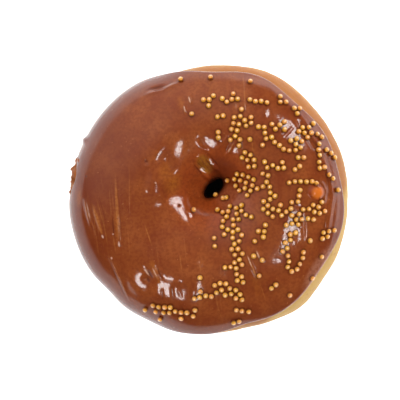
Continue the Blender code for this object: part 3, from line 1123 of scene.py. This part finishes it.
# Painted shade: the icing is darker low on its outer sides, where less light falls.
painted_shade_on_sides = (1 - caramel.height().ramp(21 * MM, 31.5 * MM)) * (1 - hole_side)
far_left = oval((-38.0, 2.0), 18.0, 46.0, full=0.8)
# Painted haze: a pale grey-pink beside the hole stands for the room mirrored there.
painted_haze_beside_hole = oval((8.0, -0.6), 8.0, 6.0, -40)
# Painted shadow: a dark red-brown patch above the hole.
painted_shadow_above_hole = oval((5.0, 9.6), 8.0, 5.0, -40)
# Painted haze: a pale grey-pink strip at the right rim stands for the room mirrored there.
painted_haze_at_right_rim = oval((36.6, -22.6), 11.0, 3.4, 57)

# %% The colours laid over one another
icing_colour = caramel.layered(
    colour(134, 64, 27),
    (drift.ramp(0.3, 0.7), colour(150, 78, 36)),
    (cloud.ramp(0.35, 0.75) * 0.5, colour(116, 42, 16)),
    (far_left * 0.4, colour(104, 42, 17)),
    (hole_side * 0.6, colour(158, 68, 24)),
    (painted_shade_on_sides * 0.8, colour(98, 34, 13)),
    (thin * (0.45 + cloud * 0.6), colour(166, 92, 30)),
    (lump * 0.9, colour(148, 90, 28)),
    (painted_haze_beside_hole * 0.4, colour(150, 90, 64)),
    (painted_shadow_above_hole * 0.5, colour(92, 34, 20)),
    (painted_haze_at_right_rim * 0.4, colour(186, 132, 106)),
    (faint * 0.5, colour(166, 96, 46)),
    (threads * 0.6, colour(176, 106, 48)),
    # Painted shade in the creases.
    (creases_with_painted_shade * 0.75, colour(70, 24, 10)),
    # Painted glints: pale marks that stand for tiny highlights.
    (painted_glints * 0.65, colour(236, 196, 166)),
    (mottle.ramp(0.4, 0.65) * 0.4, colour(110, 44, 20)),
    (blister * 0.85, caramel.mix(painted_light_on_blister, colour(146, 60, 20), colour(216, 112, 34))),
    (specks * 0.5, colour(186, 112, 60)),
    (caramel.attribute("pearl_shade") * 0.7, colour(72, 26, 8)),
    (mouth * 0.95, colour(24, 9, 5)),
)
caramel.drive("Base Color", icing_colour)

# %% Its gloss and fine relief
caramel.drive("Roughness", 0.06 + cloud * 0.06)
pits = caramel.grain(0.75 * MM, 2.0)
peel = caramel.grain(2.2 * MM, 2.0, shift=(0.0, 0.03, 0.01))
fine_relief = caramel.relief(pits, 0.036 * MM, 0.9)
fine_relief = caramel.relief(peel, 0.015 * MM, 0.9, fine_relief)
fine_relief = caramel.relief(threads + faint * 0.4 + specks * 0.5 - creases_with_painted_shade, 0.08 * MM, 0.9, fine_relief)
caramel.drive("Normal", fine_relief)
icing.data.materials.append(caramel.material)

# %% [markdown]
# ## The pearls' finish
#
# The pearls are mustard gold, satin, and no two are quite the same. Icing has crept up the foot of each
# one, and painted shade darkens its lower half too, which gives it a dark outline when it is seen from above.
# A painted highlight makes the top of each pearl pale.

# %% Gold sugar
sugar = Finish("gold_sugar", Roughness=0.35, Coat_Weight=0.8, Coat_Roughness=0.12)
tint = sugar.attribute("tint")
foot = sugar.attribute("foot")
sugar_colour = sugar.layered(
    colour(230, 166, 36),
    (tint, colour(230, 148, 48)),
    (sugar.grain(0.5 * MM, 2.0) * 0.4, colour(208, 128, 26)),
    # Painted highlight: the top of each pearl is pale.
    ((1 - foot.ramp(0.0, 0.1)) * 0.8, colour(255, 220, 176)),
    # Darker lower half: icing crept up the foot, and painted shade on the underside.
    (foot.ramp(0.24, 0.5), colour(150, 80, 16)),
)
sugar.drive("Base Color", sugar_colour)
sugar.drive("Normal", sugar.relief(sugar.grain(0.3 * MM, 2.0), 0.02 * MM, 0.4))
sprinkles.data.materials.append(sugar.material)

# %% [markdown]
# ## Fastening the pieces to the frame
#
# The doughnut has no moving part, so each piece rides on its one body. The fine pieces take the plain
# solids' place.

# %% Ride and replace
FASTENED = (
    (crust, "crust", ("dough",)),
    (icing, "icing", ("icing",)),
    (sprinkles, "pearls", ()),
)
for piece, slot, nodes in FASTENED:
    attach(piece, "root")
    if nodes:
        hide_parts(*nodes)

# %% [markdown]
# ## A pale studio
#
# The doughnut lies on white paper that glows a little, as on a light table, so hardly any shadow shows. The
# glow stops short under the ring, where a real one would be covered, and under the hole the paper is painted
# near-black as shade, so the hole stays dark. The room that the icing mirrors is dim, with one bright window
# at the upper left: it makes the soft haze on that side. A camera ray sees the room pale, which the last mix
# gives, so a view from the side has a pale backdrop as well.

# %% Floor
FLOOR_SIZE = 6.0
FLOOR_LEVEL = -0.05 * MM
GLOW_FROM = 36 * MM
GLOW_FULL = 50 * MM
bpy.ops.object.select_all(action="DESELECT")
bpy.ops.mesh.primitive_plane_add(size=FLOOR_SIZE, location=(0.0, 0.0, FLOOR_LEVEL))
floor = bpy.context.active_object
floor.name = "floor"
white = Finish("white_floor", Roughness=0.8, Specular_IOR_Level=0.2, Emission_Strength=0.9)
from_centre = white.node("ShaderNodeVectorMath", {"operation": "LENGTH"}, {0: white.place})
distance = Value(white, from_centre.outputs["Value"])
white.drive("Emission Color", white.mix(distance.ramp(GLOW_FROM, GLOW_FULL), grey(0.0), grey(1.0)))
# Painted shade: the paper is painted near-black under the hole and turns white further out.
white.drive("Base Color", white.mix(distance.ramp(GLOW_FROM, GLOW_FROM / 2), grey(0.9), grey(0.03)))
floor.data.materials.append(white.material)

# %% Named brightnesses of the room
WINDOW_TOWARD = Vector((-0.54, 0.68, 0.5)).normalized()
WINDOW_EDGE = 0.45
WINDOW_MIDDLE = 0.95
WINDOW_BRIGHTNESS = 1.0
LAMP_CORE = 0.6

# Low down the room is bright all round, and higher up on the side that this direction leans away from.
LOW_BRIGHTNESS = 3.5
LOW_LEAN = Vector((-0.16, -0.24, 1.0))
LOW_FULL = -0.05
LOW_TOP = 0.05
BACKDROP_BRIGHTNESS = 1.0

# %% What the icing mirrors
world = bpy.data.worlds.new("room")
bpy.context.scene.world = world
world.use_nodes = True
room = world.node_tree
outward = add_node(room, "ShaderNodeTexCoord").outputs["Generated"]


def toward(direction, low, high):
    """Goes from 0 to 1 as a ray's share of a direction goes from low to high."""
    share = add_node(room, "ShaderNodeVectorMath", {"operation": "DOT_PRODUCT"}, {0: outward, 1: direction})
    limits = {"Value": share.outputs["Value"], "From Min": low, "From Max": high}
    return add_node(room, "ShaderNodeMapRange", {"interpolation_type": "SMOOTHSTEP"}, limits).outputs[0]


def lit(share, first, second):
    """One light turning into another as share goes from 0 to 1."""
    return add_node(room, "ShaderNodeMix", {"data_type": "RGBA"}, {0: share, 6: first, 7: second}).outputs[2]


mirrored = lit(toward(LOW_LEAN, LOW_TOP, LOW_FULL), grey(ROOM_BRIGHTNESS), grey(LOW_BRIGHTNESS))
mirrored = lit(toward(WINDOW_TOWARD, WINDOW_EDGE, WINDOW_MIDDLE), mirrored, grey(WINDOW_BRIGHTNESS))
for name, (_, _, half_width, brightness) in LAMPS.items():
    edge = math.cos(math.radians(half_width))
    core = math.cos(math.radians(half_width * LAMP_CORE))
    mirrored = lit(toward(toward_lamp(name), edge, core), mirrored, grey(brightness))
direct = add_node(room, "ShaderNodeLightPath").outputs["Is Camera Ray"]
shown = lit(direct, mirrored, grey(BACKDROP_BRIGHTNESS))
room.links.new(shown, room.nodes["Background"].inputs["Color"])

# %% [markdown]
# ## A soft box
#
# The lamps are small, so they light too little. A broad soft box overhead does the rest. Photographers
# screen such a box so that glossy food doesn't mirror it, and here it is simply hidden from mirrored rays.

# %% Soft box
BOX_SIZE = 1.0
BOX_HEIGHT = 1.0
BOX_POWER = 4.8
box = bpy.data.lights.new("soft_box", "AREA")
box.size = BOX_SIZE
box.energy = BOX_POWER
soft_box = bpy.data.objects.new("soft_box", box)
bpy.context.collection.objects.link(soft_box)
soft_box.location = (0.0, 0.0, BOX_HEIGHT)
soft_box.visible_glossy = False

# %% [markdown]
# ## The camera
#
# The photograph looks straight down. A long lens far above keeps the sides upright, as a studio camera
# does.

# %% Camera
PICTURE_WIDTH = 131.6 * MM
SENSOR_WIDTH = 36.0
lens = bpy.data.cameras.new("camera")
lens.sensor_width = SENSOR_WIDTH
lens.lens = SENSOR_WIDTH * CAMERA_DISTANCE / PICTURE_WIDTH
camera = bpy.data.objects.new("camera", lens)
bpy.context.collection.objects.link(camera)
camera.location = EYE
bpy.context.scene.camera = camera
bpy.context.scene.view_settings.view_transform = "Standard"
